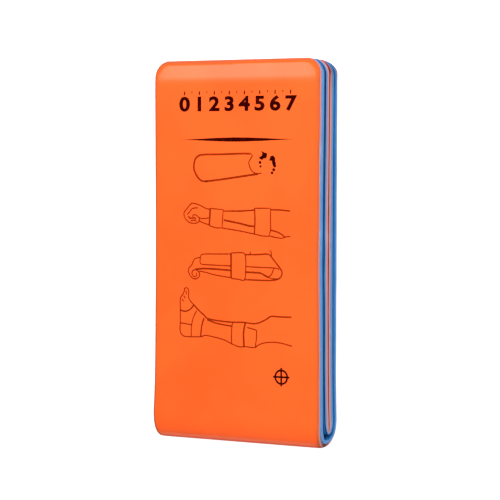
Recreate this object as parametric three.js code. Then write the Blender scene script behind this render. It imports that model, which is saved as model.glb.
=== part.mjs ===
// A first aid splint, folded flat in four and lying on its back.
// The real strip is a thin sheet of soft aluminium sealed between an orange and a blue foam sheet.
// X runs across the strip, Y along the folded pack with the free ends at +Y, and Z up through
// the layers with the printed panel on top. The origin is under the middle of the pack.
import * as THREE from "three";

const STRIP_WIDTH = 110;
const PACK_LENGTH = 222;
const ORANGE_THICKNESS = 2.6;
const BLUE_THICKNESS = 2.6;
const CORE_SLOT = 0.4;
const PANEL_GAP = 0.45;

// Rounded corners in plan: at the two free ends, and where the top fold draws the foam in.
const END_CORNER_RADIUS = 9.5;
const FOLD_CORNER_RADIUS = 11;

// The pressed edge of a foam sheet: how far in it starts, and the share of the foam it takes away.
const EDGE_ROUND = 2.7;
const EDGE_ROUND_SHARE = 0.7;

// Towards a free end the foam gets thinner over this length, by this share of its thickness.
const END_TAPER_LENGTH = 11;
const END_TAPER_SHARE = 0.22;

// Bends: how far they reach along the pack, the air between the two bottom bends, and the share
// of the foam's thickness that is left where a tight bend squeezes it.
const BOTTOM_BEND_LENGTH = 16;
const TOP_FOLD_LENGTH = 7.5;
const NESTED_BEND_GAP = 2.2;
const BOTTOM_SQUEEZE = 0.32;
const TOP_SQUEEZE = 0.45;
const SECOND_END_SETBACK = 0.4;

// How full the wide bend is above and below its middle, and the top fold above its middle: 2 is
// an ellipse, and more is squarer.
const FRONT_BEND_FULLNESS = 2.6;
const BACK_BEND_FULLNESS = 1.95;
const TOP_FOLD_FULLNESS = 3;
const ELLIPSE = 2;

// Half way along, the front panel is a little narrower on each side, and stands a little proud at
// the right side. The panels under it do the same by a share.
const FRONT_WAIST = 0.3;
const FRONT_BOW_RIGHT = 0.4;
const SECOND_PANEL_EASE = 0.6;
const THIRD_PANEL_EASE = 0.3;

const PANEL_STEPS = 8;
const BEND_STEPS = 18;
const CORNER_STEPS = 5;
const ROUND_STEPS = 3;

const stripThickness = ORANGE_THICKNESS + CORE_SLOT + BLUE_THICKNESS;
const halfWidth = STRIP_WIDTH / 2;
const bendMiddle = (4 * stripThickness + 3 * PANEL_GAP) / 2;
const foldMiddle = stripThickness + PANEL_GAP / 2;
const bottomTop = BOTTOM_BEND_LENGTH;
const foldStart = PACK_LENGTH - TOP_FOLD_LENGTH;

// The four surfaces of the strip, from the orange face to the blue face.
const SURFACES = ["orangeFace", "orangeBack", "blueBack", "blueFace"];
const DEPTH = {
  orangeFace: 0,
  orangeBack: ORANGE_THICKNESS,
  blueBack: ORANGE_THICKNESS + CORE_SLOT,
  blueFace: stripThickness,
};

// The panels in the order in which the strip runs through them. The level is the height of the
// orange face, and up says which way it looks.
const PANELS = {
  front: { level: 4 * stripThickness + 3 * PANEL_GAP, up: 1, ease: 1 },
  back: { level: 0, up: -1, ease: 0 },
  third: { level: 2 * stripThickness + PANEL_GAP, up: 1, ease: THIRD_PANEL_EASE },
  second: { level: 2 * (stripThickness + PANEL_GAP), up: -1, ease: SECOND_PANEL_EASE },
};

// How far the strip's outline draws in at a distance from an end with rounded corners.
function cornerInset(distance, radius) {
  const left = Math.max(radius - distance, 0);
  return radius - Math.sqrt(radius * radius - left * left);
}

// One station across a panel: where each surface lies in Y and Z, the half width and the bow.
function panelStation(panel, y, endDistance, foldDistance) {
  const station = { end: endDistance, bow: 0 };
  for (const surface of SURFACES) {
    station[surface] = [y, panel.level - panel.up * DEPTH[surface]];
  }
  const inset = Math.max(
    cornerInset(endDistance, END_CORNER_RADIUS),
    cornerInset(foldDistance, FOLD_CORNER_RADIUS),
  );
  const along = Math.min(Math.max((y - bottomTop) / (foldStart - bottomTop), 0), 1);
  station.bow = panel.ease * Math.sin(Math.PI * along) ** 2;
  station.half = halfWidth - inset - FRONT_WAIST * station.bow;
  return station;
}

// The distances from a free end at which its stations stand: close together in the rounded edge,
// then round the corner, then to the end of the taper.
function endDistances() {
  const distances = [0];
  for (let step = 1; step <= ROUND_STEPS; step++) {
    distances.push(EDGE_ROUND * (1 - Math.cos((Math.PI / 2) * (step / ROUND_STEPS))));
  }
  const past = Math.max(END_CORNER_RADIUS, END_TAPER_LENGTH);
  for (let step = 1; step <= CORNER_STEPS; step++) {
    distances.push(EDGE_ROUND + (past - EDGE_ROUND) * (step / CORNER_STEPS));
  }
  return distances;
}

// A panel from its free end to the bottom bend.
function endPanel(panel, endY) {
  const stations = endDistances().map((d) => panelStation(panel, endY - d, d, Infinity));
  const firstY = endY - endDistances().at(-1);
  for (let step = 1; step < PANEL_STEPS; step++) {
    const y = firstY + (bottomTop - firstY) * (step / PANEL_STEPS);
    stations.push(panelStation(panel, y, endY - y, Infinity));
  }
  return stations;
}

// A panel from the bottom bend to the top fold, with stations round the fold's drawn-in corner.
function foldedPanel(panel) {
  const stations = [];
  const cornerY = PACK_LENGTH - FOLD_CORNER_RADIUS;
  for (let step = 1; step <= PANEL_STEPS; step++) {
    const y = bottomTop + (cornerY - bottomTop) * (step / PANEL_STEPS);
    stations.push(panelStation(panel, y, Infinity, PACK_LENGTH - y));
  }
  if (cornerY < foldStart) {
    const y = (cornerY + foldStart) / 2;
    stations.push(panelStation(panel, y, Infinity, PACK_LENGTH - y));
  }
  return stations;
}

// A bend between two panels. Each surface turns through half an ellipse of its own: its half
// height is how far the surface is from the bend's middle, and its tip is where the foam ends up.
function bend({ middle, heights, startY, tips, turn, narrows, above = ELLIPSE, below = ELLIPSE }) {
  const stations = [];
  for (let step = 0; step <= BEND_STEPS; step++) {
    const angle = turn * (Math.PI / 2 - (Math.PI * step) / BEND_STEPS);
    const power = 2 / (angle > 0 ? above : below);
    const forward = Math.max(Math.cos(angle), 0) ** power;
    const upward = Math.sign(angle) * Math.abs(Math.sin(angle)) ** power;
    const station = { end: Infinity, bow: 0, half: halfWidth };
    for (const surface of SURFACES) {
      const y = startY + (tips[surface] - startY) * forward;
      station[surface] = [y, middle + heights[surface] * upward];
    }
    if (narrows) {
      const distance = Math.abs(tips.orangeFace - station.orangeFace[0]);
      station.half = halfWidth - cornerInset(distance, FOLD_CORNER_RADIUS);
    }
    stations.push(station);
  }
  return stations;
}

// Tip positions along Y for a bend whose outermost surface ends at tip. The foams keep the given
// share of their thickness there, and inwards is +1 or -1.
function bendTips(outerTip, inwards, share, orangeOutside) {
  const first = share * (orangeOutside ? ORANGE_THICKNESS : BLUE_THICKNESS);
  const second = share * (orangeOutside ? BLUE_THICKNESS : ORANGE_THICKNESS);
  const cuts = [0, first, first + CORE_SLOT, first + CORE_SLOT + second];
  if (!orangeOutside) cuts.reverse();
  return Object.fromEntries(SURFACES.map((s, i) => [s, outerTip + inwards * cuts[i]]));
}

// Half heights of the four surfaces in a bend whose outermost surface is outer from its middle.
function bendHeights(outer, orangeOutside) {
  return Object.fromEntries(
    SURFACES.map((s) => [s, outer - (orangeOutside ? DEPTH[s] : stripThickness - DEPTH[s])]),
  );
}

const wideBend = bend({
  middle: bendMiddle,
  heights: bendHeights(bendMiddle, true),
  startY: bottomTop,
  tips: bendTips(0, 1, 1, true),
  turn: 1,
  above: FRONT_BEND_FULLNESS,
  below: BACK_BEND_FULLNESS,
});
const topFold = bend({
  middle: foldMiddle,
  heights: bendHeights(foldMiddle, true),
  startY: foldStart,
  tips: bendTips(PACK_LENGTH, -1, TOP_SQUEEZE, true),
  turn: -1,
  narrows: true,
  above: TOP_FOLD_FULLNESS,
});
const nestedBend = bend({
  middle: bendMiddle,
  heights: bendHeights(foldMiddle, false),
  startY: bottomTop,
  tips: bendTips(stripThickness + NESTED_BEND_GAP, 1, BOTTOM_SQUEEZE, false),
  turn: -1,
});

// The whole strip, station by station, from the free end of the front panel to the other one.
const strip = [
  ...endPanel(PANELS.front, PACK_LENGTH),
  ...wideBend,
  ...foldedPanel(PANELS.back),
  ...topFold,
  ...foldedPanel(PANELS.third).reverse(),
  ...nestedBend,
  ...endPanel(PANELS.second, PACK_LENGTH - SECOND_END_SETBACK).reverse(),
];

// Distances in from an edge at which the rounded edge gets its corners.
function edgeInsets() {
  return Array.from(
    { length: ROUND_STEPS + 1 },
    (_, step) => EDGE_ROUND * (1 - Math.cos((Math.PI / 2) * (step / ROUND_STEPS))),
  );
}

// How far a point of a station lies inside the strip's outline.
function distanceInside(station, x) {
  const cornerX = Math.abs(x) - (halfWidth - END_CORNER_RADIUS);
  const cornerY = END_CORNER_RADIUS - station.end;
  if (cornerX > 0 && cornerY > 0) return END_CORNER_RADIUS - Math.hypot(cornerX, cornerY);
  return Math.min(station.half - Math.abs(x), station.end);
}

// The share of a foam's thickness that stands at a point, less in the rounded edge and the taper.
function foamShare(station, x) {
  const fromRound = 1 - Math.min(Math.max(distanceInside(station, x), 0) / EDGE_ROUND, 1);
  const fromTaper = 1 - Math.min(station.end / END_TAPER_LENGTH, 1);
  const round = EDGE_ROUND_SHARE * (1 - Math.sqrt(1 - fromRound * fromRound));
  return (1 - round) * (1 - END_TAPER_SHARE * fromTaper * fromTaper);
}

// The points round one station of a foam sheet: along its face from left to right, then back
// along the side that lies on the core.
function sectionPoints(station, face, back) {
  const rise = (x) => station.bow * FRONT_BOW_RIGHT * (x / STRIP_WIDTH + 0.5);
  const point = (x, share) => {
    const y = station[back][0] + share * (station[face][0] - station[back][0]);
    const z = station[back][1] + share * (station[face][1] - station[back][1]);
    return new THREE.Vector3(x, y, z + rise(x));
  };
  const right = edgeInsets().map((inset) => station.half - inset);
  const columns = [...right.map((x) => -x), ...right.reverse()];
  const points = columns.map((x) => point(x, foamShare(station, x)));
  return [...points, point(station.half, 0), point(-station.half, 0)];
}

// One foam sheet as a closed solid, skinned from section to section along the strip.
function foamSheet(name, face, back, color, facesOut) {
  const sections = strip.map((station) => sectionPoints(station, face, back));
  const around = sections[0].length;
  const triangles = [];
  for (let row = 0; row + 1 < sections.length; row++) {
    for (let column = 0; column < around; column++) {
      const next = (column + 1) % around;
      const a = row * around + column;
      const b = row * around + next;
      triangles.push([a, b, b + around], [a, b + around, a + around]);
    }
  }
  const backRight = around - 2;
  const backLeft = around - 1;
  const lastRow = (sections.length - 1) * around;
  for (let column = 0; column + 1 < backRight; column++) {
    triangles.push([column, backLeft, column + 1]);
    triangles.push([lastRow + column, lastRow + column + 1, lastRow + backLeft]);
  }
  triangles.push([backRight - 1, backLeft, backRight]);
  triangles.push([lastRow + backRight - 1, lastRow + backRight, lastRow + backLeft]);
  const index = triangles.flatMap(([a, b, c]) => (facesOut ? [a, b, c] : [a, c, b]));

  const geometry = new THREE.BufferGeometry().setFromPoints(sections.flat());
  geometry.setIndex(index);
  geometry.computeVertexNormals();
  const material = new THREE.MeshStandardMaterial({ color, roughness: 0.62, metalness: 0 });
  const mesh = new THREE.Mesh(geometry, material);
  mesh.name = name;
  return mesh;
}

const splint = new THREE.Group();
splint.add(foamSheet("orange_foam_sheet", "orangeFace", "orangeBack", 0xf9632b, false));
splint.add(foamSheet("blue_foam_sheet", "blueFace", "blueBack", 0x3f7fc4, true));
splint.position.set(0, -PACK_LENGTH / 2, 0);

export default splint;
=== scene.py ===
import math
import bmesh
import bpy
from mathutils import Matrix, Vector, noise


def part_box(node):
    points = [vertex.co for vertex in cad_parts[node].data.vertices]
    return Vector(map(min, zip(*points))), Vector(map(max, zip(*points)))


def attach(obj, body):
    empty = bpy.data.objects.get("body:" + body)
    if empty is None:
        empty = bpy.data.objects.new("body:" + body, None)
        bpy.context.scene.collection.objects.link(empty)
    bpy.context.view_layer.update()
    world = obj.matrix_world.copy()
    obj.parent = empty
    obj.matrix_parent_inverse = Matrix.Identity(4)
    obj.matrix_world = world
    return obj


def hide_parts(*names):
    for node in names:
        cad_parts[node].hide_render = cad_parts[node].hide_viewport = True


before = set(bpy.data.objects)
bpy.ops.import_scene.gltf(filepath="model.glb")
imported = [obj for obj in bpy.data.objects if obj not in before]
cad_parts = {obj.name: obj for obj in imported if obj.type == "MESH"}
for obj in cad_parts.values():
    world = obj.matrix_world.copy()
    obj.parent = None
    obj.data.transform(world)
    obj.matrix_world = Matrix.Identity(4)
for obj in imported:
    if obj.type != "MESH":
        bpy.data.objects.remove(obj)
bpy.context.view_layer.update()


# The studio: a plain pale floor under the splint that glows a little, as a light table does, an
# even pale surround, a broad soft light overhead, a smaller one that the free end mirrors, and
# a weak low one in front of the bends.
WHITE = (1.0, 1.0, 1.0)
FAINT_YELLOW = (1.0, 1.0, 0.84)
SURROUND = (0.80, 0.81, 0.83)
SURROUND_STRENGTH = 0.34
FLOOR_SIZE = 6.0
FLOOR_COLOUR = (0.36, 0.36, 0.37, 1.0)
FLOOR_ROUGHNESS = 0.8
FLOOR_GLOW = 0.94


def soft_light(name, towards, distance, size, watts, colour):
    """A rectangular lamp that looks at the splint from the direction of towards."""
    lamp = bpy.data.lights.new(name, "AREA")
    lamp.color = colour
    lamp.shape = "RECTANGLE"
    lamp.size, lamp.size_y = size
    lamp.energy = watts
    holder = bpy.data.objects.new(name, lamp)
    direction = Vector(towards).normalized()
    holder.location = direction * distance
    holder.rotation_euler = direction.to_track_quat("Z", "Y").to_euler()
    bpy.context.scene.collection.objects.link(holder)


soft_light("main_light", towards=(0.20, 0.42, 0.88), distance=1.05, size=(0.6, 0.6),
           watts=14.5, colour=WHITE)
soft_light("end_light", towards=(-0.48, 0.33, 0.813), distance=2.6, size=(0.3, 0.34),
           watts=6.4, colour=FAINT_YELLOW)
soft_light("low_light", towards=(0.1, -0.93, 0.36), distance=1.6, size=(0.9, 0.5),
           watts=3.5, colour=WHITE)

world = bpy.data.worlds.new("surround")
world.use_nodes = True
world.node_tree.nodes["Background"].inputs["Color"].default_value = (*SURROUND, 1.0)
world.node_tree.nodes["Background"].inputs["Strength"].default_value = SURROUND_STRENGTH
bpy.context.scene.world = world
bpy.context.scene.view_settings.view_transform = "Standard"

floor_mesh = bpy.data.meshes.new("floor")
half_floor = FLOOR_SIZE / 2
floor_mesh.from_pydata(
    [(-half_floor, -half_floor, 0), (half_floor, -half_floor, 0),
     (half_floor, half_floor, 0), (-half_floor, half_floor, 0)],
    [], [(0, 1, 2, 3)],
)
floor = bpy.data.objects.new("floor", floor_mesh)
bpy.context.scene.collection.objects.link(floor)
floor_paint = bpy.data.materials.new("pale_floor")
floor_paint.use_nodes = True
floor_shader = floor_paint.node_tree.nodes["Principled BSDF"]
floor_shader.inputs["Base Color"].default_value = FLOOR_COLOUR
floor_shader.inputs["Roughness"].default_value = FLOOR_ROUGHNESS
floor_shader.inputs["Emission Color"].default_value = (*WHITE, 1.0)
floor_shader.inputs["Emission Strength"].default_value = FLOOR_GLOW
floor_mesh.materials.append(floor_paint)

# The camera looks down at the printed panel from the photograph's side: turned from the panel's
# own normal towards the layered edge, with the free ends at the top of the picture.
CAMERA_TURN = math.radians(29.33)
CAMERA_RAISE = math.radians(2.46)
CAMERA_ROLL = math.radians(0.15)
CAMERA_DISTANCE = 1.1746
CAMERA_AIM = Vector((0.00375, 0.00111, 0.012))
CAMERA_LENS = 145.76
SENSOR = 36.0

towards_camera = Vector((
    math.sin(CAMERA_TURN) * math.cos(CAMERA_RAISE),
    math.sin(CAMERA_RAISE),
    math.cos(CAMERA_TURN) * math.cos(CAMERA_RAISE),
))
level = Vector((0, 1, 0)).cross(towards_camera).normalized()
upright = towards_camera.cross(level)
picture_right = level * math.cos(CAMERA_ROLL) + upright * math.sin(CAMERA_ROLL)
picture_up = upright * math.cos(CAMERA_ROLL) - level * math.sin(CAMERA_ROLL)
camera_data = bpy.data.cameras.new("camera")
camera_data.sensor_width = SENSOR
camera_data.lens = CAMERA_LENS
camera = bpy.data.objects.new("camera", camera_data)
turn = Matrix((picture_right, picture_up, towards_camera)).transposed().to_4x4()
camera.matrix_world = Matrix.Translation(CAMERA_AIM + towards_camera * CAMERA_DISTANCE) @ turn
bpy.context.scene.collection.objects.link(camera)
bpy.context.scene.camera = camera


# The orange foam sheet: polyethylene foam with a smooth printed skin, outside on the front and
# back panels. It is heat-bonded over a thin sheet of soft aluminium, with the blue foam on the
# other side, and the whole strip is bent flat by hand into four panels.
# The strip's width and the pack's length come from the frame, and all sizes are in metres.
low_corner, high_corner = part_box("orange_foam_sheet")
STRIP_WIDTH = high_corner.x - low_corner.x
PACK_LENGTH = high_corner.y - low_corner.y
FOAM = 0.0026
CORE_SLOT = 0.0004
PANEL_GAP = 0.00045
END_CORNER = 0.0095
FOLD_CORNER = 0.0096
BOTTOM_BEND = 0.016
TOP_FOLD = 0.0075
NESTED_GAP = 0.0022
BOTTOM_SQUEEZE = 0.32
TOP_SQUEEZE = 0.45
SECOND_END_SETBACK = 0.0002
FRONT_FULLNESS = 2.6
BACK_FULLNESS = 1.95
TOP_FULLNESS = 3.0
WAIST = 0.0005
BOW = 0.0004
BULGE = 0.0005
BULGE_LENGTH = 0.034
TIP_DRAWN = 0.0003
TIP_SKEW = 0.001
PANEL_STEP = 0.0028
BEND_STEPS = 44
# A bend's outline is an oval of this power, and a higher one is fuller. Its tip is drawn in and
# skewed only close to its middle.
OVAL = 2.0
TIP_POWER = 6
SURFACES = ("orange_face", "orange_back", "blue_back", "blue_face")

strip_thickness = 2 * FOAM + CORE_SLOT
half_width = STRIP_WIDTH / 2
pack_height = 4 * strip_thickness + 3 * PANEL_GAP
fold_middle = strip_thickness + PANEL_GAP / 2
fold_start = PACK_LENGTH - TOP_FOLD
depth = dict(zip(SURFACES, (0, FOAM, FOAM + CORE_SLOT, strip_thickness)))

# Each panel's orange face: its height, the way it looks, its share of the bow and the waist,
# and how far the panel lies to the right, because the strip is not folded quite square.
PANELS = {
    "front": (pack_height, 1, 1.0, 0.0),
    "back": (0.0, -1, 0.0, 0.0003),
    "third": (2 * strip_thickness + PANEL_GAP, 1, 0.3, 0.00045),
    "second": (2 * (strip_thickness + PANEL_GAP), -1, 0.6, 0.00045),
}


def corner_inset(distance, radius):
    """How far a rounded corner has drawn the outline in, at a distance from the end."""
    left = max(radius - distance, 0)
    return radius - math.sqrt(radius * radius - left * left)


def panel_station(panel, y, end=math.inf, fold=math.inf):
    """Where the strip's four surfaces lie across a panel, its half width and its bow."""
    height, up, ease, shift = PANELS[panel]
    along = min(max((y - BOTTOM_BEND) / (fold_start - BOTTOM_BEND), 0), 1)
    bow = ease * math.sin(math.pi * along) ** 2
    bulge = BULGE * max(1 - (y - BOTTOM_BEND) / BULGE_LENGTH, 0) ** 2
    station = {surface: (y, height - up * depth[surface]) for surface in SURFACES}
    station["half"] = (half_width - WAIST * bow + bulge
                       - max(corner_inset(end, END_CORNER), corner_inset(fold, FOLD_CORNER)))
    shift -= bulge if panel == "front" else 0
    station["narrowed"] = dict.fromkeys(SURFACES, 0)
    station.update(panel=panel, end=end, fold=fold, bow=bow, shift=shift, joins=(panel, panel),
                   turned=0)
    return station


def spaced(start, stop):
    """Places from start to stop, both left out, about a panel step apart."""
    count = max(round(abs(stop - start) / PANEL_STEP), 1)
    return [start + (stop - start) * step / count for step in range(1, count)]


# The stations of a free end, close together where its foam is rounded and wider apart beyond.
END_ROUND = 0.0027
END_ROUND_STEPS = 8
END_CORNER_STEPS = 10
end_places = [END_ROUND * (1 - math.cos(math.pi / 2 * step / END_ROUND_STEPS))
              for step in range(END_ROUND_STEPS + 1)]
end_places += [END_ROUND + (END_CORNER - END_ROUND) * step / END_CORNER_STEPS
               for step in range(1, END_CORNER_STEPS + 1)]


def end_panel(panel, end_y):
    """The stations of a panel from its free end to the bottom bend."""
    stations = [panel_station(panel, end_y - place, end=place) for place in end_places]
    for y in spaced(end_y - END_CORNER, BOTTOM_BEND):
        stations.append(panel_station(panel, y, end=end_y - y))
    return stations


def folded_panel(panel):
    """The stations of a panel from the bottom bend to the top fold."""
    corner_y = PACK_LENGTH - FOLD_CORNER
    places = [*spaced(BOTTOM_BEND, corner_y), corner_y, *spaced(corner_y, fold_start)]
    return [panel_station(panel, y, fold=PACK_LENGTH - y) for y in places]


def bend(name, joins, middle, outer, start, tip, inwards, squeeze, turn, orange_outside=True,
         narrows=False, above=OVAL, below=OVAL):
    """The stations of a bend. Each surface turns through half an oval of its own."""
    foam = squeeze * FOAM
    cuts = [0, foam, foam + CORE_SLOT, 2 * foam + CORE_SLOT]
    heights = [outer - depth[surface] for surface in SURFACES]
    if not orange_outside:
        cuts.reverse()
        heights = [outer - strip_thickness + depth[surface] for surface in SURFACES]
    stations = []
    for step in range(BEND_STEPS + 1):
        angle = turn * (math.pi / 2 - math.pi * step / BEND_STEPS)
        power = OVAL / (above if angle > 0 else below)
        forward = max(math.cos(angle), 0) ** power
        upward = math.copysign(abs(math.sin(angle)) ** power, angle)
        station = {}
        for surface, cut, height in zip(SURFACES, cuts, heights):
            y = start + (tip + inwards * cut - start) * forward
            station[surface] = (y, middle + height * upward)
        turned = step / BEND_STEPS
        station["half"] = half_width + (0 if narrows else BULGE - TIP_DRAWN * forward ** TIP_POWER)
        station["narrowed"] = {
            surface: corner_inset(abs(tip + inwards * cut - station[surface][0]),
                                  FOLD_CORNER - cut) if narrows else 0
            for surface, cut in zip(SURFACES, cuts)
        }
        shifts = [PANELS[panel][3] - (BULGE if panel == "front" else 0) for panel in joins]
        shift = shifts[0] + (shifts[1] - shifts[0]) * (1 - math.cos(math.pi * turned)) / 2
        shift -= TIP_SKEW * forward ** TIP_POWER if name == "wide_bend" else 0
        turned = min(max(2 * turned - (1 if joins[0] == "back" else 0), 0), 1)
        station.update(panel=name, end=math.inf, fold=0 if narrows else math.inf, bow=0,
                       shift=shift, round=math.cos(angle), joins=joins, turned=turned)
        stations.append(station)
    return stations


# Both foams follow one line: from the free end of the front panel round the wide bend, the top
# fold and the bend nested inside the wide one, to the free end of the second panel.
strip = [
    *end_panel("front", PACK_LENGTH),
    *bend("wide_bend", joins=("front", "back"), middle=pack_height / 2, outer=pack_height / 2,
          start=BOTTOM_BEND, tip=0, inwards=1, squeeze=1, turn=1,
          above=FRONT_FULLNESS, below=BACK_FULLNESS),
    *folded_panel("back"),
    *bend("top_fold", joins=("back", "third"), middle=fold_middle, outer=fold_middle,
          start=fold_start, tip=PACK_LENGTH, inwards=-1, squeeze=TOP_SQUEEZE, turn=-1,
          narrows=True, above=TOP_FULLNESS),
    *reversed(folded_panel("third")),
    *bend("nested_bend", joins=("third", "second"), middle=pack_height / 2, outer=fold_middle,
          start=BOTTOM_BEND, tip=strip_thickness + NESTED_GAP, inwards=1,
          squeeze=BOTTOM_SQUEEZE, turn=-1, orange_outside=False),
    *reversed(end_panel("second", PACK_LENGTH - SECOND_END_SETBACK)),
]

# How far along the opened strip each station is, measured on the core.
travelled = 0.0
for before, station in zip([strip[0], *strip], strip):
    travelled += math.dist(before["orange_back"], station["orange_back"])
    station["along"] = travelled

# How the foam is cut with a pressed, rounded edge, thinned towards the free ends and fused to
# the other foam round the rim, so that the metal stays sealed in.
EDGE_STEPS = 8
ACROSS_STEPS = 42
END_TAPER = 0.0122
SEAM_SHARE = 0.012
SEAM_WIDTH = 0.0005
CORE_MARGIN = 0.0026
# The closeness reaches further in on the left side, which faces away from the lights, so that its
# painted rim shade is wider.
LEFT_RIM_SHADE_SPREAD = 0.5
UNEVEN = 0.00009
RIM_WANDER = 0.00013
RIM_WANDER_LENGTH = 0.021
FOLD_EASE = 0.02
RIM_PRESS_WIDTH = 0.0055
RIM_PRESS_POWER = 1.5
SHARP_EDGE = math.radians(50)
core_share = (CORE_SLOT / 2) / (CORE_SLOT / 2 + FOAM)
# The side of the rim, from the rounded edge down to the seam: how far in, and how high.
RIM_SIDE = [(0.0, 0.5), (0.00001, 0.28), (0.00003, 0.11), (0.00008, 0.04)]
# The hollows in the foam: their width, length, share of the depth and place in the noise.
HOLLOWS = [(0.034, 0.047, 0.38, 0.0), (0.011, 0.014, 0.12, 7.3)]
# Painted shade darkens the pinched gaps close to the rim, less at the free ends and not on the cut
# side itself, and it lies on the wide bend as a faint darkening with a darker line along its
# middle, where the bend turns away from the lights.
PINCH_FROM = 0.12
PINCH_RISE = 0.3
UNSHADED_RIM = 0.99
END_SHADE = 0.35
BEND_SHADE = 0.04
BEND_SHADE_LINE = 0.86
BEND_SHADE_LINE_POWER = 18
CREASE_SHARE = 0.05
CREASE_LENGTH = 0.0022


def unevenness(x, along, seed):
    """How far the foam has sunk at a place, from 0 to 1, in hollows a few centimetres across."""
    sunk = 0.5
    for width, length, share, place in HOLLOWS:
        sunk += share * noise.noise(Vector((x / width, along / length, seed + place)))
    return sunk


def inside_distance(station, x):
    """How far a place lies inside the strip's outline."""
    corner_x = abs(x) - (half_width - END_CORNER)
    corner_y = END_CORNER - station["end"]
    if corner_x > 0 and corner_y > 0:
        return END_CORNER - math.hypot(corner_x, corner_y)
    return min(station["half"] - abs(x), station["end"])


def rim_value(station, foam, what):
    """A measure of a panel's rim, blended round the bends. Unnamed panels have the inside one."""
    here, there = (foam[what].get(panel, foam[what]["inside"]) for panel in station["joins"])
    return here + (there - here) * station["turned"]


def face_share(station, x, foam, ripple=0.0):
    """How high the foam's face stands above the core there, as a share of its full height."""
    inside = max(inside_distance(station, x), 0)
    from_round = 1 - min(inside / rim_value(station, foam, "edge_round"), 1)
    from_press = 1 - min(inside / RIM_PRESS_WIDTH, 1)
    from_taper = 1 - min(station["end"] / END_TAPER, 1)
    rim_share = rim_value(station, foam, "rim_share")
    rounded = 1 - (1 - rim_share) * (1 - math.sqrt(1 - from_round * from_round))
    thinned = 1 - rim_value(station, foam, "taper") * from_taper
    thinned *= 1 - rim_value(station, foam, "press") * from_press ** RIM_PRESS_POWER
    sunk = UNEVEN / FOAM * unevenness(x, station["along"], foam["seed"]) * (1 - from_round)
    return rounded * thinned - sunk - ripple


def core_side_share(station, x):
    """How high the foam's inner side lies: on the core, and on the seam close to the rim."""
    rise = (inside_distance(station, x) - SEAM_WIDTH) / (CORE_MARGIN - SEAM_WIDTH)
    return SEAM_SHARE + (core_share - SEAM_SHARE) * min(max(rise, 0), 1)


def bow_rise(station, x):
    """How far the panel's bow lifts it there, most at its right side."""
    return station["bow"] * BOW * (x / STRIP_WIDTH + 0.5)


def grime(station, foam, near):
    """How much painted shade lies there, from 0 to 1: in the gaps, on the wide bend and by the top
    fold.
    """
    pinched = min(max((near - PINCH_FROM) / PINCH_RISE, 0), 1) * rim_value(station, foam, "grime")
    if near > UNSHADED_RIM:
        pinched = 0
    pinched *= END_SHADE + (1 - END_SHADE) * min(station["end"] / END_CORNER, 1)
    tucked = foam["tucked"] * max(1 - station["fold"] / FOLD_EASE, 0)
    if foam["face"] == "blue_face":
        return max(pinched, tucked)
    if station["panel"] == "wide_bend":
        line = BEND_SHADE_LINE * station["round"] ** BEND_SHADE_LINE_POWER
        return max(pinched, BEND_SHADE * station["round"] + line)
    if station["panel"] == "top_fold":
        tucked *= math.sqrt(station["turned"])
    elif station["panel"] != "third":
        tucked = 0
    return max(pinched, tucked)


def bend_ripple(station, foam):
    """Fine crosswise creases where the foam is on the inside of a bend, as a share of height."""
    if station["panel"] != foam["creased_bend"]:
        return 0.0
    creased = 1 + math.sin(station["along"] / CREASE_LENGTH * math.tau)
    return CREASE_SHARE * station["round"] ** 2 * creased


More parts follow.
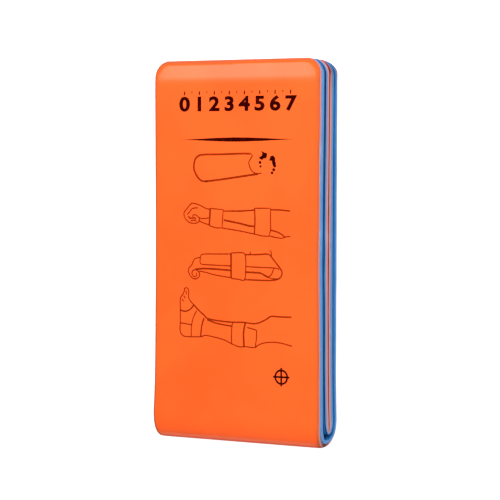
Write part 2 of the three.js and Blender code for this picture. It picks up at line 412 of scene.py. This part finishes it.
def foam_sheet(name, foam):
    """One foam sheet as a closed mesh that knows its closeness to the cut edge and its painted
    shade.
    """
    edge = [1 - math.cos(math.pi / 2 * step / EDGE_STEPS) for step in range(EDGE_STEPS + 1)]
    across = [2 * step / ACROSS_STEPS - 1 for step in range(1, ACROSS_STEPS)]
    points, closeness, shade_amounts = [], [], []
    for station in strip:
        station = dict(station, half=station["half"] - station["narrowed"][foam["face"]])
        wander_place = Vector((station["along"] / RIM_WANDER_LENGTH, foam["seed"], 0.5))
        wander = RIM_WANDER * noise.noise(wander_place)
        settled = min(station["end"] / END_CORNER, station["fold"] / FOLD_EASE, 1)
        edge_round = rim_value(station, foam, "edge_round")
        half = station["half"] + (wander - rim_value(station, foam, "drawn_in")) * settled
        inner = half - edge_round
        ripple = bend_ripple(station, foam)
        backs = zip(station["orange_back"], station["blue_back"])
        middle = [(orange + blue) / 2 for orange, blue in backs]
        columns = [-(half - edge_round * part) for part in edge]
        columns += [inner * part for part in across]
        columns += [half - edge_round * part for part in reversed(edge)]
        ring = [(x, face_share(station, x, foam, ripple)) for x in columns]
        rim_height = face_share(station, station["half"], foam, ripple)
        side = [(half - inset, share * rim_height) for inset, share in RIM_SIDE]
        under = [half - SEAM_WIDTH, half - CORE_MARGIN, half / 2, 0]
        core = [(x, core_side_share(station, x)) for x in under]
        ring += side + core
        ring += [(-x, share) for x, share in reversed(core[:-1])]
        ring += [(-x, share) for x, share in reversed(side)]
        for column, (x, share) in enumerate(ring):
            y = middle[0] + share * (station[foam["face"]][0] - middle[0])
            z = middle[1] + share * (station[foam["face"]][1] - middle[1])
            points.append((x + station["shift"], y - PACK_LENGTH / 2, z + bow_rise(station, x)))
            # Closeness is measured from this foam's own rim, and the cut side is all edge.
            near = 1 - max(inside_distance(station, x) - station["half"] + half, 0) / edge_round
            # On the left side the closeness is spread further in, for the wider painted rim shade
            # there.
            near = min(max(near, 0), 1) ** (LEFT_RIM_SHADE_SPREAD if x < 0 else 1)
            closeness.append(near if column < len(columns) else 1)
            shade_amounts.append(grime(station, foam, closeness[-1]))
    around = len(points) // len(strip)
    faces = []
    for row in range(len(strip) - 1):
        for column in range(around):
            here = row * around + column
            beside = row * around + (column + 1) % around
            faces.append((here, beside, beside + around, here + around))
    faces.append(tuple(reversed(range(around))))
    faces.append(tuple(range(len(points) - around, len(points))))

    mesh = bpy.data.meshes.new(name)
    mesh.from_pydata(points, [], faces)
    for attribute, values in (("cut_edge", closeness), ("grime", shade_amounts)):
        mesh.attributes.new(attribute, "FLOAT", "POINT").data.foreach_set("value", values)
    shell = bmesh.new()
    shell.from_mesh(mesh)
    bmesh.ops.recalc_face_normals(shell, faces=shell.faces)
    shell.to_mesh(mesh)
    shell.free()
    mesh.shade_smooth()
    mesh.set_sharp_from_angle(angle=SHARP_EDGE)
    piece = bpy.data.objects.new(name, mesh)
    bpy.context.scene.collection.objects.link(piece)
    return piece


class Wire:
    """A socket in a material. Sums and products on it add Math nodes."""

    # The Mix node's colour sockets share their names with its others, so they go by place.
    MIX_FACTOR = 0
    MIX_FIRST = 6
    MIX_SECOND = 7
    MIX_RESULT = 2

    def __init__(self, tree, socket=None):
        self.tree = tree
        self.socket = socket

    def node(self, kind, settings=None, inputs=None, output=0):
        """Adds a node, sets it up, fills its sockets and gives back one of its outputs."""
        made = self.tree.nodes.new(kind)
        for setting, value in (settings or {}).items():
            setattr(made, setting, value)
        for place, value in (inputs or {}).items():
            if isinstance(value, Wire):
                self.tree.links.new(value.socket, made.inputs[place])
            else:
                made.inputs[place].default_value = value
        return Wire(self.tree, made.outputs[output])

    def maths(self, operation, first, second):
        """One Math node on two wires or numbers."""
        return self.node("ShaderNodeMath", {"operation": operation}, {0: first, 1: second})

    def __add__(self, other):
        return self.maths("ADD", self, other)

    def __radd__(self, other):
        return self.maths("ADD", other, self)

    def __sub__(self, other):
        return self.maths("SUBTRACT", self, other)

    def __rsub__(self, other):
        return self.maths("SUBTRACT", other, self)

    def __mul__(self, other):
        return self.maths("MULTIPLY", self, other)

    def __rmul__(self, other):
        return self.maths("MULTIPLY", other, self)

    def band(self, low, high):
        """0 below low, 1 above high, and a smooth rise between."""
        return self.node("ShaderNodeMapRange", {"interpolation_type": "SMOOTHSTEP"},
                         {"Value": self, "From Min": low, "From Max": high})

    def mix(self, first, second):
        """The first colour where this is 0, the second where it is 1."""
        sockets = {self.MIX_FACTOR: self, self.MIX_FIRST: first, self.MIX_SECOND: second}
        return self.node("ShaderNodeMix", {"data_type": "RGBA"}, sockets, self.MIX_RESULT)

    def noise(self, scale, detail=2.0, roughness=0.5):
        """A noise of that many hollows to the metre, on this wire's coordinates."""
        return self.node("ShaderNodeTexNoise", None, {
            "Vector": self, "Scale": scale, "Detail": detail, "Roughness": roughness,
        })


# How many mottles, grains, pebbles, specks and rubbed spots there are to a metre of foam.
MOTTLES = 26.0
GRAINS = 900.0
PEBBLES = 1150.0
SPECKS = 420.0
RUBBED_SPOTS = 64.0


def foam_material(name, pale, deep, cut, rim_shade, shade_colour):
    """Satin closed-cell foam: a pebbled skin, faint mottling, a paler matt cut edge, and painted
    shade on the rounded rim and in the gaps.
    """
    material = bpy.data.materials.new(name)
    material.use_nodes = True
    tree = material.node_tree
    start = Wire(tree)
    place = start.node("ShaderNodeTexCoord", output="Object")
    mottle = place.noise(MOTTLES, 3.0).band(0.34, 0.68)
    grain = place.noise(GRAINS, 3.0, 0.6)
    pebbles = place.node("ShaderNodeTexVoronoi", {"feature": "SMOOTH_F1"},
                         {"Vector": place, "Scale": PEBBLES, "Smoothness": 0.7})
    speckle = place.noise(SPECKS, 2.0).band(0.56, 0.74)
    rubbed = place.noise(RUBBED_SPOTS, 4.0, 0.65).band(0.52, 0.72)
    edge = start.node("ShaderNodeAttribute", {"attribute_name": "cut_edge"}, output="Fac")
    # This attribute carries the painted shade in the gaps, on the wide bend and by the top fold.
    settled = start.node("ShaderNodeAttribute", {"attribute_name": "grime"}, output="Fac")
    skin = mottle.mix(deep, pale)
    skin = (speckle * 0.10).mix(skin, deep)
    # Painted shade on the rounded rim, which turns away from the lights, varied by the rubbed
    # spots.
    skin = (edge.band(0.2, 0.85) * (0.76 + 0.2 * rubbed)).mix(skin, rim_shade)
    skin = (edge.band(0.94, 1.0) * (0.7 + 0.3 * rubbed)).mix(skin, cut)
    # Painted shade mixed in where the gaps, the wide bend's tip and the top fold lie in shade.
    skin = (settled * (0.9 + 0.1 * mottle)).mix(skin, shade_colour)
    height = grain * 0.6 + pebbles * 0.8 + rubbed * 0.5
    dents = start.node("ShaderNodeBump", None,
                       {"Strength": 0.11, "Distance": 0.00012, "Height": height})
    shine = 0.5 + 0.1 * grain + 0.08 * mottle + 0.25 * edge.band(0.02, 0.4)
    skinned = 1 - edge.band(0.0, 0.3)
    gloss = skinned * (1 - settled.band(0.0, 0.12)) * (0.9 + 0.1 * mottle)
    shader = tree.nodes["Principled BSDF"]
    shader.inputs["Specular IOR Level"].default_value = 0.06
    shader.inputs["Coat Roughness"].default_value = 0.24
    shader.inputs["Coat IOR"].default_value = 1.36
    for socket, wire in {"Base Color": skin, "Roughness": shine, "Coat Weight": gloss,
                         "Normal": dents}.items():
        tree.links.new(wire.socket, shader.inputs[socket])
    return material


# What the orange foam has: its colours, among them painted shade for its rim and its gaps, and how
# its rim is on the panels that it covers.
ORANGE_PALE = (0.94, 0.110, 0.0122, 1.0)
ORANGE_DEEP = (0.91, 0.098, 0.0100, 1.0)
ORANGE_CUT = (0.64, 0.31, 0.31, 1.0)
# The rim colour is painted shade for the rounded rim, not wear.
ORANGE_RIM_SHADE = (0.39, 0.094, 0.040, 1.0)
# The darkest colour is painted shade for the gaps, the wide bend's tip and the top fold, not soil.
ORANGE_PAINTED_SHADE = (0.10, 0.02, 0.040, 1.0)
orange_sheet = {
    "face": "orange_face", "seed": 2.0,
    "edge_round": {"front": 0.0027, "back": 0.0034, "inside": 0.0009},
    "rim_share": {"front": 0.12, "back": 0.06, "inside": 0.79},
    "press": {"front": 0.05, "back": 0.05, "inside": 0.13},
    "taper": {"front": 0.6, "inside": 0.1},
    "grime": {"front": 0, "back": 0, "inside": 1},
    "drawn_in": {"front": 0.0003, "back": 0.0014, "third": 0.0005, "inside": 0.0002},
    "tucked": 0.65, "creased_bend": "nested_bend",
}
orange_foam = foam_sheet("orange_foam", orange_sheet)
orange_foam.data.materials.append(
    foam_material("orange_closed_cell_foam", ORANGE_PALE, ORANGE_DEEP, ORANGE_CUT, ORANGE_RIM_SHADE,
                  ORANGE_PAINTED_SHADE)
)
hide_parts("orange_foam_sheet")
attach(orange_foam, "root")


# The blue foam sheet: the same foam, bonded to the other side of the metal. It shows only at
# the layered edges and inside the bends, where the wide bend creases it across.
BLUE_PALE = (0.022, 0.160, 0.41, 1.0)
BLUE_DEEP = (0.016, 0.130, 0.35, 1.0)
BLUE_CUT = (0.138, 0.305, 0.60, 1.0)
# The rim colour is painted shade for the rounded rim, not wear.
BLUE_RIM_SHADE = (0.022, 0.150, 0.39, 1.0)
# The darkest colour is painted shade for the gaps and the top fold, not soil.
BLUE_PAINTED_SHADE = (0.0002, 0.010, 0.060, 1.0)
blue_sheet = {
    "face": "blue_face", "seed": 5.0,
    "edge_round": {"third": 0.0014, "front": 0.0007, "second": 0.0007, "inside": 0.001},
    "rim_share": {"third": 0.6, "front": 0.9, "second": 0.8, "inside": 0.8},
    "press": {"inside": 0.12}, "taper": {"inside": 0.06},
    "grime": {"third": 0.15, "back": 0.05, "inside": 1},
    "drawn_in": {"third": 0.0005, "second": 0, "front": -0.0002, "inside": -0.0002},
    "tucked": 0.4, "creased_bend": "wide_bend",
}
blue_foam = foam_sheet("blue_foam", blue_sheet)
blue_foam.data.materials.append(
    foam_material("blue_closed_cell_foam", BLUE_PALE, BLUE_DEEP, BLUE_CUT, BLUE_RIM_SHADE, BLUE_PAINTED_SHADE)
)
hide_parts("blue_foam_sheet")
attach(blue_foam, "root")


# The measuring scale printed across the top of the front panel: black screen ink on the orange
# skin, with a tick for every centimetre and half centimetre and a bold plain number under each.
# The ink film's heights and the bolder outline are in metres, and the print's other sizes and
# its places on the panel in millimetres.
INK_ABOVE = 0.00003
INK_BELOW = 0.00005
SCALE_STEPS = 8
SCALE_START = -33.6
SCALE_TOP = 93.0
SCALE_STEP = 10.0
TICK_LENGTH = 2.2
TICK_WIDTH = 0.8
HALF_TICK_LENGTH = 1.3
HALF_TICK_WIDTH = 0.5
NUMBER_DROP = 3.0
NUMBER_HEIGHT = 8.2
NUMBER_WIDEN = 1.25
NUMBER_BOLD = 0.00044
# The height of a number in the plain built-in font, as a share of the font's size.
FONT_SHARE = 0.73
PINHOLES = 900.0
THIN_PATCHES = 310.0
MM = 0.001


def printed_skin(x, y):
    """The height of the orange skin on the front panel."""
    from_end = PACK_LENGTH / 2 - y
    station = panel_station("front", y + PACK_LENGTH / 2, end=from_end)
    station["along"] = from_end
    middle = (station["orange_back"][1] + station["blue_back"][1]) / 2
    share = face_share(station, x, orange_sheet)
    return middle + share * (station["orange_face"][1] - middle) + bow_rise(station, x)


def smooth(*places, steps=7):
    """A flowing line through a few places on the panel, given in millimetres."""
    spots = [Vector(place) for place in (places[0], *places, places[-1])]
    line = []
    for before, here, there, after in zip(spots, spots[1:], spots[2:], spots[3:]):
        for step in range(steps):
            t = step / steps
            line.append(0.5 * ((2 * here) + (there - before) * t
                               + (2 * before - 5 * here + 4 * there - after) * t * t
                               + (3 * here - before - 3 * there + after) * t * t * t))
    return [*line, spots[-1]]


def circle(centre, radius, sides):
    """A closed circle on the panel, in millimetres."""
    turns = [math.tau * side / sides for side in range(sides)]
    return [Vector(centre) + radius * Vector((math.cos(turn), math.sin(turn))) for turn in turns]


def straight(*places, step=3.0):
    """Straight lines from place to place, cut short enough to follow the panel's bow."""
    spots = [Vector(place) for place in places]
    line = []
    for here, there in zip(spots, spots[1:]):
        count = max(math.ceil((there - here).length / step), 1)
        line += [here.lerp(there, index / count) for index in range(count)]
    return [*line, spots[-1]]


def ink_line(ink, line, width, closed=False):
    """One printed stroke as a thin solid film. The width may be a function of how far along."""
    corners = []
    last = len(line) - 1
    for index, spot in enumerate(line):
        before = line[index - 1] if index or closed else spot
        after = line[(index + 1) % len(line)] if index < last or closed else spot
        wide = width(index / last) if callable(width) else width
        ahead = (after - before).normalized() * wide / 2
        corner = []
        for side, lift in ((1, INK_ABOVE), (-1, INK_ABOVE), (-1, -INK_BELOW), (1, -INK_BELOW)):
            x, y = (spot.x - side * ahead.y) * MM, (spot.y + side * ahead.x) * MM
            corner.append(ink.verts.new((x, y, printed_skin(x, y) + lift)))
        corners.append(corner)
    following = corners[1:] + (corners[:1] if closed else [])
    for here, there in zip(corners, following):
        for side in range(4):
            after = (side + 1) % 4
            ink.faces.new((here[side], there[side], there[after], here[after]))
    if not closed:
        ink.faces.new(corners[0])
        ink.faces.new(tuple(reversed(corners[-1])))


def ink_patch(ink, outline):
    """One printed solid shape."""
    rims = []
    for lift in (INK_ABOVE, -INK_BELOW):
        rims.append([ink.verts.new((spot.x * MM, spot.y * MM,
                                    printed_skin(spot.x * MM, spot.y * MM) + lift))
                     for spot in outline])
    ink.faces.new(rims[0])
    ink.faces.new(tuple(reversed(rims[1])))
    for index in range(len(outline)):
        after = (index + 1) % len(outline)
        ink.faces.new((rims[0][index], rims[1][index], rims[1][after], rims[0][after]))


def ink_number(ink, text, x, y, height):
    """A bold plain number, centred on x with its foot on y."""
    letters = bpy.data.curves.new("number", "FONT")
    letters.body = text
    letters.align_x = "CENTER"
    letters.size = height * MM / FONT_SHARE
    letters.offset = NUMBER_BOLD
    letters.extrude = (INK_ABOVE + INK_BELOW) / 2
    letters.resolution_u = 6
    shape = bpy.data.objects.new("number", letters)
    bpy.context.scene.collection.objects.link(shape)
    bpy.context.view_layer.update()
    mesh = bpy.data.meshes.new_from_object(shape)
    for vertex in mesh.vertices:
        across, up = vertex.co.x * NUMBER_WIDEN + x * MM, vertex.co.y + y * MM
        film = vertex.co.z + (INK_ABOVE - INK_BELOW) / 2
        vertex.co = (across, up, printed_skin(across, up) + film)
    ink.from_mesh(mesh)
    bpy.data.objects.remove(shape)
    bpy.data.curves.remove(letters)
    bpy.data.meshes.remove(mesh)


def ink_material(name, full, thin):
    """Screen ink, a little paler where it lies thin, satin, with fine pinholes."""
    material = bpy.data.materials.new(name)
    material.use_nodes = True
    place = Wire(material.node_tree).node("ShaderNodeTexCoord", output="Object")
    patchy = place.noise(THIN_PATCHES, 3.0, 0.6).band(0.5, 0.72)
    colour = patchy.mix(full, thin)
    shine = 0.42 + 0.14 * patchy
    dents = place.node("ShaderNodeBump", None, {"Strength": 0.2, "Distance": 0.00008,
                                                "Height": place.noise(PINHOLES, 3.0, 0.6)})
    shader = material.node_tree.nodes["Principled BSDF"]
    shader.inputs["Specular IOR Level"].default_value = 0.0
    for socket, wire in {"Base Color": colour, "Roughness": shine, "Normal": dents}.items():
        material.node_tree.links.new(wire.socket, shader.inputs[socket])
    return material


full_ink = ink_material("screen_ink", (0.026, 0.0008, 0.0005, 1.0), (0.065, 0.004, 0.001, 1.0))


def printed_piece(name, ink, material):
    """Makes one printed figure a piece that rides on the splint."""
    bmesh.ops.recalc_face_normals(ink, faces=ink.faces)
    mesh = bpy.data.meshes.new(name)
    ink.to_mesh(mesh)
    ink.free()
    mesh.materials.append(material)
    piece = bpy.data.objects.new(name, mesh)
    bpy.context.scene.collection.objects.link(piece)
    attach(piece, "root")


scale = bmesh.new()
for step in range(SCALE_STEPS):
    mark = SCALE_START + SCALE_STEP * step
    tick = straight((mark, SCALE_TOP), (mark, SCALE_TOP - TICK_LENGTH))
    ink_line(scale, tick, TICK_WIDTH)
    ink_number(scale, str(step), mark, SCALE_TOP - NUMBER_DROP - NUMBER_HEIGHT, NUMBER_HEIGHT)
    if step < SCALE_STEPS - 1:
        half_mark = mark + SCALE_STEP / 2
        half_tick = straight((half_mark, SCALE_TOP), (half_mark, SCALE_TOP - HALF_TICK_LENGTH))
        ink_line(scale, half_tick, HALF_TICK_WIDTH)
printed_piece("printed_scale", scale, full_ink)


# The swelled rule under the scale: a straight bar screened in the same ink, thick in its middle
# and drawn out to a hairline at both ends.
RULE_ENDS = (-35.5, 38.0)
RULE_HEIGHT = 65.0
RULE_WIDTH = 2.3
HAIRLINE = 0.12
RULE_SWELL_POWER = 1.5
rule = bmesh.new()
ink_line(rule, straight((RULE_ENDS[0], RULE_HEIGHT), (RULE_ENDS[1], RULE_HEIGHT), step=1.5),
         lambda along: HAIRLINE + RULE_WIDTH * math.sin(math.pi * along) ** RULE_SWELL_POWER)
printed_piece("printed_rule", rule, full_ink)


# The first figure: the flat strip with one end being curled. The figures are fine lines, so the
# screen leaves only a thin reddish-brown film of the ink.
FINE = 0.75
MEDIUM = 0.95
BOLD = 1.15
BAND = 1.25
fine_ink = ink_material("thin_screen_ink", (0.25, 0.020, 0.0015, 1.0), (0.34, 0.034, 0.003, 1.0))
strip_figure = bmesh.new()
ink_line(strip_figure, smooth((10.5, 56.9), (3.6, 56.9), (-9.7, 56.5), (-21.1, 56.3), (-24.5, 55.4),
                              (-26.5, 53.2), (-27.3, 49.1), (-26.5, 46.2), (-24.4, 43.0),
                              (-21.7, 41.1), (-18.3, 40.8)), BOLD)
ink_line(strip_figure, smooth((-19.3, 40.8), (-9.6, 41.9), (3.7, 43.7), (10.3, 44.6),
                              (15.5, 45.3)), BAND)
ink_line(strip_figure, smooth((10.5, 56.9), (11.7, 55.8), (10.8, 54.2), (9.6, 52.4), (9.7, 50.4),
                              (10.7, 48.1), (12.2, 46.5), (14.5, 45.5), (17.8, 45.7)), FINE)
printed_piece("printed_strip_figure", strip_figure, fine_ink)


# Two bold arrows beside the curled end, which show the turn, with two dots behind each. They
# are printed solid, in the full ink.
ARROW_DOTS = [((16.8, 51.9), 0.9), ((17.2, 49.6), 0.7), ((25.8, 47.8), 0.95), ((24.7, 46.0), 0.85)]
DOT_SIDES = 10
arrows = bmesh.new()
ink_patch(arrows, straight((17.5, 58.6), (19.8, 57.5), (21.5, 57.0), (20.9, 54.2), (19.3, 54.2),
                           (18.0, 53.2), (15.9, 54.5), (18.0, 55.9), (18.3, 56.9)))
ink_patch(arrows, straight((23.7, 55.5), (25.2, 55.9), (26.7, 54.5), (26.7, 52.7), (27.5, 49.6),
                           (25.9, 48.8), (24.8, 51.3), (24.4, 52.9), (22.7, 52.9)))
for centre, radius in ARROW_DOTS:
    ink_patch(arrows, circle(centre, radius, DOT_SIDES))
printed_piece("printed_arrows", arrows, full_ink)


# The second figure: a closed hand and a forearm on the splint, held by two bandages. Printed
# in fine lines like the first.
forearm = bmesh.new()
ink_line(forearm, smooth((-16.6, 24.6), (-19.6, 25.4), (-23.0, 26.9), (-27.8, 28.1), (-29.9, 27.0),
                         (-31.9, 24.8), (-33.8, 22.6), (-33.5, 19.9), (-31.8, 17.9), (-29.8, 16.7),
                         (-26.4, 16.4), (-24.0, 17.2), (-23.5, 19.1), (-25.0, 20.8), (-27.1, 21.4),
                         (-28.2, 20.3)), FINE)
ink_line(forearm, smooth((-24.4, 25.4), (-28.1, 25.0), (-30.1, 23.0), (-31.7, 21.4)), FINE)
ink_line(forearm, smooth((-31.0, 20.4), (-29.5, 19.3), (-27.1, 19.6), (-25.7, 18.9)), MEDIUM)
ink_line(forearm, smooth((-29.5, 17.7), (-27.3, 18.2), (-25.3, 17.7)), FINE)
ink_line(forearm, smooth((-23.8, 19.8), (-21.0, 19.2), (-17.1, 19.7)), FINE)
ink_line(forearm, smooth((-23.7, 18.1), (-21.0, 16.8), (-17.0, 15.7)), FINE)
ink_line(forearm, straight((-16.3, 25.2), (-7.4, 24.6), (-7.7, 20.3), (-8.2, 14.0), (-12.2, 14.0),
                           (-16.7, 15.2)), FINE)
ink_line(forearm, straight((-16.1, 25.2), (-16.7, 15.2)), BOLD)
ink_line(forearm, straight((-7.4, 23.8), (3.8, 23.9), (13.3, 24.6)), MEDIUM)
ink_line(forearm, straight((-7.0, 18.6), (3.8, 16.8), (9.8, 15.5), (13.4, 15.2)), BOLD)
ink_line(forearm, straight((-8.2, 14.0), (3.8, 12.5), (13.3, 10.9)), FINE)
ink_line(forearm, straight((13.4, 25.7), (13.7, 18.4), (13.3, 10.9)), MEDIUM)
ink_line(forearm, straight((13.4, 25.7), (23.7, 25.8), (24.0, 14.0), (22.9, 9.8), (18.3, 9.9),
                           (13.3, 10.9)), FINE)
ink_line(forearm, straight((24.0, 25.0), (30.0, 24.9), (36.4, 24.4)), MEDIUM)
ink_line(forearm, smooth((23.9, 13.3), (27.4, 12.6), (30.7, 11.3), (33.1, 9.6)), MEDIUM)
ink_line(forearm, smooth((22.9, 10.1), (27.4, 9.2), (31.3, 8.9), (33.9, 9.7), (36.8, 10.0)), FINE)
printed_piece("printed_forearm_figure", forearm, fine_ink)


# The third figure: a bent elbow with the splint folded round it, and one bandage. Printed in
# fine lines.
elbow = bmesh.new()
ink_line(elbow, smooth((-2.3, -0.9), (-9.5, -1.1), (-20.6, -1.4), (-22.4, -2.6), (-22.8, -4.3),
                       (-22.8, -6.5), (-21.3, -7.4), (-14.8, -7.6), (-2.2, -7.8)), FINE)
ink_line(elbow, smooth((-22.8, -3.4), (-26.0, -4.1), (-27.4, -5.6), (-28.4, -7.7), (-30.6, -10.1),
                       (-30.7, -12.1), (-29.4, -14.4), (-27.4, -15.9), (-25.0, -15.7),
                       (-23.2, -13.9), (-24.0, -11.6), (-26.3, -10.6), (-28.2, -11.8),
                       (-28.2, -13.5), (-26.9, -14.7), (-25.1, -13.9), (-25.5, -12.4)), FINE)
ink_line(elbow, smooth((-26.0, -10.4), (-20.2, -9.8), (-12.8, -9.9), (-2.1, -10.4)), BOLD)
ink_line(elbow, smooth((-23.6, -11.3), (-18.9, -12.0), (-12.8, -13.3), (-2.1, -14.6)), FINE)
ink_line(elbow, straight((-2.1, -0.3), (-2.0, -14.9)), BOLD)
ink_line(elbow, smooth((-2.1, -0.3), (5.2, -0.0), (7.2, -1.0), (7.7, -4.1), (7.7, -8.1),
                       (6.9, -15.4), (2.6, -15.3), (-2.0, -15.0)), FINE)
ink_line(elbow, smooth((7.4, -1.0), (15.7, -0.8), (21.9, -0.4), (24.2, -1.7), (27.5, -5.3),
                       (30.8, -9.2), (31.4, -11.5), (30.1, -13.8), (27.5, -14.9), (23.6, -15.4),
                       (15.8, -15.5), (6.9, -15.4)), MEDIUM)
ink_line(elbow, straight((10.6, 0.8), (10.6, -0.8)), FINE)
ink_line(elbow, smooth((23.7, 1.7), (24.4, 0.3), (24.4, -1.4)), FINE)
ink_line(elbow, smooth((7.7, -7.9), (17.1, -8.1), (24.9, -8.2), (28.2, -8.4), (29.5, -9.2)), FINE)
ink_line(elbow, smooth((7.7, -11.1), (14.4, -11.2), (17.7, -11.5), (20.3, -12.7),
                       (22.6, -13.7)), BOLD)
ink_line(elbow, smooth((22.6, -13.7), (25.6, -14.4), (28.8, -14.4)), FINE)
ink_line(elbow, smooth((25.9, -8.4), (25.3, -10.5), (24.0, -12.5), (22.4, -13.4)), FINE)
printed_piece("printed_elbow_figure", elbow, fine_ink)


# The fourth figure: a lower leg and foot on the splint, with a bandage round the ankle and one
# round the calf. Printed in fine lines.
leg = bmesh.new()
ink_line(leg, smooth((-27.3, -31.1), (-29.4, -29.0), (-30.7, -26.7), (-30.6, -23.2), (-31.6, -21.5),
                     (-33.2, -21.7), (-33.6, -23.3), (-34.9, -25.7), (-36.0, -26.9), (-36.4, -28.7),
                     (-36.4, -34.6), (-36.4, -41.6), (-36.4, -46.9), (-34.8, -49.2), (-31.8, -50.0),
                     (-22.5, -49.6), (-19.5, -48.7), (-14.1, -49.3), (-6.7, -50.8), (-1.4, -52.9),
                     (3.3, -54.3), (7.9, -54.1), (13.7, -54.3), (15.5, -53.0), (19.7, -51.4),
                     (25.0, -50.7), (30.2, -50.9), (34.7, -51.7), (37.9, -52.4)), FINE)
ink_line(leg, smooth((-27.3, -31.1), (-23.9, -34.1), (-20.2, -36.9), (-17.5, -38.9), (-9.4, -39.9),
                     (-1.1, -40.3), (6.6, -40.1), (13.2, -40.6), (17.8, -39.4), (22.0, -37.3),
                     (24.6, -35.9), (30.2, -36.0), (37.6, -35.9)), MEDIUM)
ink_line(leg, smooth((-18.2, -39.5), (-10.8, -41.5), (-1.4, -42.6)), MEDIUM)
ink_line(leg, smooth((-32.5, -23.1), (-32.1, -25.3)), FINE)
ink_line(leg, smooth((-34.0, -26.0), (-33.0, -27.6)), FINE)
ink_line(leg, smooth((-35.2, -28.0), (-34.0, -29.4)), FINE)
ink_line(leg, smooth((-36.4, -34.4), (-33.8, -35.2), (-31.1, -34.7), (-28.7, -33.1),
                     (-27.3, -31.2)), MEDIUM)
ink_line(leg, smooth((-25.1, -34.4), (-27.3, -38.3), (-28.6, -43.1), (-29.0, -49.8)), FINE)
ink_line(leg, smooth((-20.2, -38.6), (-21.7, -43.3), (-22.5, -49.5)), MEDIUM)
ink_line(leg, smooth((-36.2, -42.1), (-33.1, -42.4), (-28.8, -42.9)), FINE)
ink_line(leg, smooth((-1.1, -40.5), (-1.7, -46.0), (-1.7, -52.9)), FINE)
ink_line(leg, smooth((7.4, -40.4), (6.3, -46.2), (6.6, -54.2)), BOLD)
ink_line(leg, smooth((8.6, -42.9), (11.9, -43.6), (14.6, -44.2)), FINE)
ink_line(leg, straight((14.8, -44.0), (14.8, -48.7), (14.0, -54.2)), FINE)
printed_piece("printed_leg_figure", leg, fine_ink)


# A plain register mark at the lower right of the panel: a ring with crossed lines through it,
# which lines the print up on the strip. It is screened in the full ink.
MARK_CENTRE = (31.0, -70.4)
MARK_RING = 3.9
MARK_REACH = 5.3
MARK_WIDTH = 1.1
MARK_SIDES = 36
register = bmesh.new()
ink_line(register, circle(MARK_CENTRE, MARK_RING, MARK_SIDES), MARK_WIDTH, closed=True)
ink_line(register, straight((MARK_CENTRE[0] - MARK_REACH, MARK_CENTRE[1]),
                            (MARK_CENTRE[0] + MARK_REACH, MARK_CENTRE[1])), MARK_WIDTH)
ink_line(register, straight((MARK_CENTRE[0], MARK_CENTRE[1] - MARK_REACH),
                            (MARK_CENTRE[0], MARK_CENTRE[1] + MARK_REACH)), MARK_WIDTH)
printed_piece("printed_register_mark", register, full_ink)
